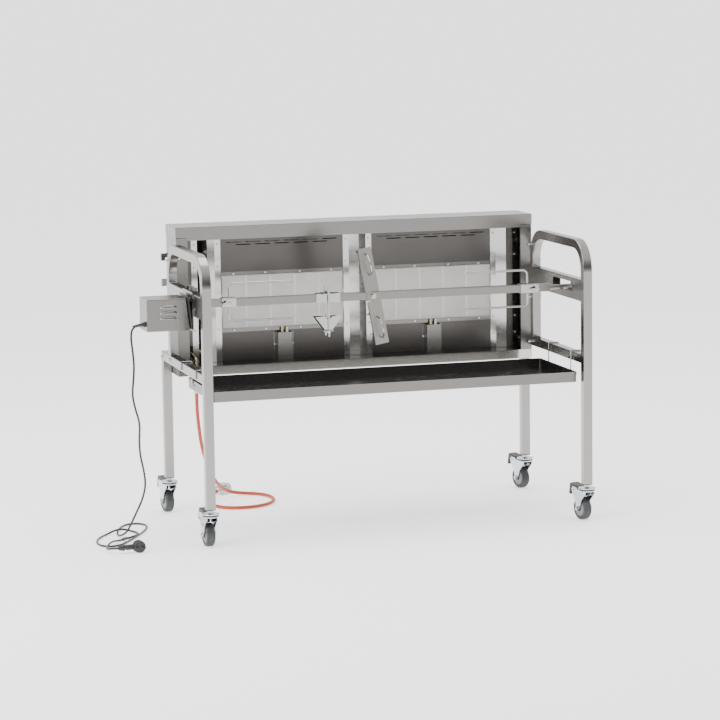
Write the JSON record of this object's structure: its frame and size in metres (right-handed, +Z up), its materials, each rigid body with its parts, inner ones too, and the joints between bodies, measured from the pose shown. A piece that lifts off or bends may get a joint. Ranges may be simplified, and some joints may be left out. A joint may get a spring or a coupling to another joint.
{
  "type": "gas spit roaster",
  "caption": "Free-standing gas infrared spit roaster: wheeled tube stand, ceramic burner cabinet, motor-driven square spit with forks and clamps, drip tray.",
  "frame": {"origin": "on the floor under the middle of the machine, measured without the cord and the hose", "axes": "+X along the spit away from the motor, +Y from the open front to the burner cabinet, +Z up"},
  "size_m": [1.6398, 0.9672, 0.975],
  "materials": {
    "black_plastic": "fine grain",
    "brass": "machined",
    "bright_steel": "bright rolled stainless",
    "cabinet_steel": "brushed, half bright",
    "caster_zinc": "bright zinc plate",
    "ceramic": "fired ceramic, matt",
    "cord_pvc": "flexible, half gloss",
    "frame_steel": "fine brushed, satin",
    "grey_plastic": "satin",
    "hose_rubber": "orange red, matt",
    "motor_casting": "cast, painted",
    "regulator_zinc": "die cast, satin",
    "screw_steel": "plated",
    "spit_steel": "satin, used",
    "tyre_rubber": "satin black"
  },
  "bodies": {
    "stand": {"left_hoop": "frame_steel", "right_hoop": "frame_steel", "left_spit_rail": "frame_steel", "right_spit_rail": "frame_steel", "left_lower_rail": "frame_steel", "right_lower_rail": "frame_steel", "frame_bolts": "screw_steel", "leg_plugs": "black_plastic", "front_left_caster_stem": "caster_zinc", "front_right_caster_stem": "caster_zinc", "rear_left_caster_stem": "caster_zinc", "rear_right_caster_stem": "caster_zinc", "cabinet_casing": "cabinet_steel", "top_cap": "bright_steel", "bottom_trough": "bright_steel", "left_burner_panel": "cabinet_steel", "right_burner_panel": "cabinet_steel", "reflector_strips": "bright_steel", "left_burner_body": "bright_steel", "right_burner_body": "bright_steel", "left_burner_plaques": "ceramic", "right_burner_plaques": "ceramic", "shield_boxes": "bright_steel", "flame_sensors": "brass", "gas_pipe": "brass", "gas_valves": "brass", "cabinet_screws": "screw_steel", "hose_fitting": "brass", "gas_hose": "hose_rubber", "gas_regulator": "regulator_zinc"},
    "motor_unit": {"motor_cover": "cabinet_steel", "motor_plate": "cabinet_steel", "gear_motor": "motor_casting", "cord_gland": "black_plastic", "power_cord": "cord_pvc", "power_cord_loops": "cord_pvc", "power_plug": "black_plastic"},
    "spit_bar": {"spit": "spit_steel", "drive_shaft": "spit_steel"},
    "left_fork": {"left_fork": "spit_steel"},
    "right_fork": {"right_fork": "spit_steel"},
    "leg_clamp": {"leg_clamp": "spit_steel"},
    "spine_brace": {"spine_brace": "spit_steel", "spine_brace_hooks": "spit_steel"},
    "upper_gas_knob": {"upper_gas_knob": "black_plastic"},
    "lower_gas_knob": {"lower_gas_knob": "grey_plastic"},
    "tray": {"drip_tray": "cabinet_steel", "tray_hooks": "frame_steel"},
    "front_left_fork": {"front_left_caster_fork": "caster_zinc"},
    "front_left_wheel": {"front_left_caster_wheel": "tyre_rubber"},
    "front_left_pedal": {"front_left_caster_pedal": "black_plastic"},
    "front_right_fork": {"front_right_caster_fork": "caster_zinc"},
    "front_right_wheel": {"front_right_caster_wheel": "tyre_rubber"},
    "front_right_pedal": {"front_right_caster_pedal": "black_plastic"},
    "rear_left_fork": {"rear_left_caster_fork": "caster_zinc"},
    "rear_left_wheel": {"rear_left_caster_wheel": "tyre_rubber"},
    "rear_left_pedal": {"rear_left_caster_pedal": "black_plastic"},
    "rear_right_fork": {"rear_right_caster_fork": "caster_zinc"},
    "rear_right_wheel": {"rear_right_caster_wheel": "tyre_rubber"},
    "rear_right_pedal": {"rear_right_caster_pedal": "black_plastic"}
  },
  "joints": [
    {"name": "spit_distance", "type": "slide", "parent": "stand", "child": "motor_unit", "axis": [0, 1, 0], "range_m": [-0.075, 0.075]},
    {"name": "spit_turn", "type": "hinge", "parent": "motor_unit", "child": "spit_bar", "pos_m": [0.067, -0.14992, 0.757], "axis": [1, 0, 0], "continuous": true},
    {"name": "left_fork_slide", "type": "slide", "parent": "spit_bar", "child": "left_fork", "axis": [1, 0, 0], "range_m": [-0.05, 0.03]},
    {"name": "leg_clamp_slide", "type": "slide", "parent": "spit_bar", "child": "leg_clamp", "axis": [1, 0, 0], "range_m": [-0.03, 0.04]},
    {"name": "spine_brace_slide", "type": "slide", "parent": "spit_bar", "child": "spine_brace", "axis": [1, 0, 0], "range_m": [0, 0.1]},
    {"name": "right_fork_slide", "type": "slide", "parent": "spit_bar", "child": "right_fork", "axis": [1, 0, 0], "range_m": [-0.1, 0.03]},
    {"name": "upper_gas_knob_turn", "type": "hinge", "parent": "stand", "child": "upper_gas_knob", "pos_m": [-0.573, 0.25208, 0.87], "axis": [-1, 0, 0], "range_deg": [0, 180]},
    {"name": "lower_gas_knob_turn", "type": "hinge", "parent": "stand", "child": "lower_gas_knob", "pos_m": [-0.573, 0.25208, 0.785], "axis": [-1, 0, 0], "range_deg": [0, 180]},
    {"name": "tray_lift", "type": "slide", "parent": "stand", "child": "tray", "axis": [0, 0, 1], "range_m": [0, 0.1]},
    {"name": "front_left_swivel", "type": "hinge", "parent": "stand", "child": "front_left_fork", "pos_m": [-0.568, -0.33292, 0.1], "axis": [0, 0, 1], "continuous": true},
    {"name": "front_left_wheel_turn", "type": "hinge", "parent": "front_left_fork", "child": "front_left_wheel", "pos_m": [-0.56981, -0.30699, 0.0375], "axis": [-0.9976, -0.0698, 0], "continuous": true},
    {"name": "front_left_brake", "type": "hinge", "parent": "front_left_fork", "child": "front_left_pedal", "pos_m": [-0.57163, -0.28105, 0.098], "axis": [-0.9976, -0.0698, 0], "range_deg": [0, 15]},
    {"name": "front_right_swivel", "type": "hinge", "parent": "stand", "child": "front_right_fork", "pos_m": [0.702, -0.33292, 0.1], "axis": [0, 0, 1], "continuous": true},
    {"name": "front_right_wheel_turn", "type": "hinge", "parent": "front_right_fork", "child": "front_right_wheel", "pos_m": [0.69659, -0.30749, 0.0375], "axis": [-0.9781, -0.2079, 0], "continuous": true},
    {"name": "front_right_brake", "type": "hinge", "parent": "front_right_fork", "child": "front_right_pedal", "pos_m": [0.69119, -0.28206, 0.098], "axis": [-0.9781, -0.2079, 0], "range_deg": [0, 15]},
    {"name": "rear_left_swivel", "type": "hinge", "parent": "stand", "child": "rear_left_fork", "pos_m": [-0.568, 0.27308, 0.1], "axis": [0, 0, 1], "continuous": true},
    {"name": "rear_left_wheel_turn", "type": "hinge", "parent": "rear_left_fork", "child": "rear_left_wheel", "pos_m": [-0.57117, 0.29888, 0.0375], "axis": [-0.9925, -0.1219, 0], "continuous": true},
    {"name": "rear_left_brake", "type": "hinge", "parent": "rear_left_fork", "child": "rear_left_pedal", "pos_m": [-0.57434, 0.32469, 0.098], "axis": [-0.9925, -0.1219, 0], "range_deg": [0, 15]},
    {"name": "rear_right_swivel", "type": "hinge", "parent": "stand", "child": "rear_right_fork", "pos_m": [0.702, 0.27308, 0.1], "axis": [0, 0, 1], "continuous": true},
    {"name": "rear_right_wheel_turn", "type": "hinge", "parent": "rear_right_fork", "child": "rear_right_wheel", "pos_m": [0.69527, 0.29819, 0.0375], "axis": [-0.9659, -0.2588, 0], "continuous": true},
    {"name": "rear_right_brake", "type": "hinge", "parent": "rear_right_fork", "child": "rear_right_pedal", "pos_m": [0.68854, 0.32331, 0.098], "axis": [-0.9659, -0.2588, 0], "range_deg": [0, 15]}
  ]
}
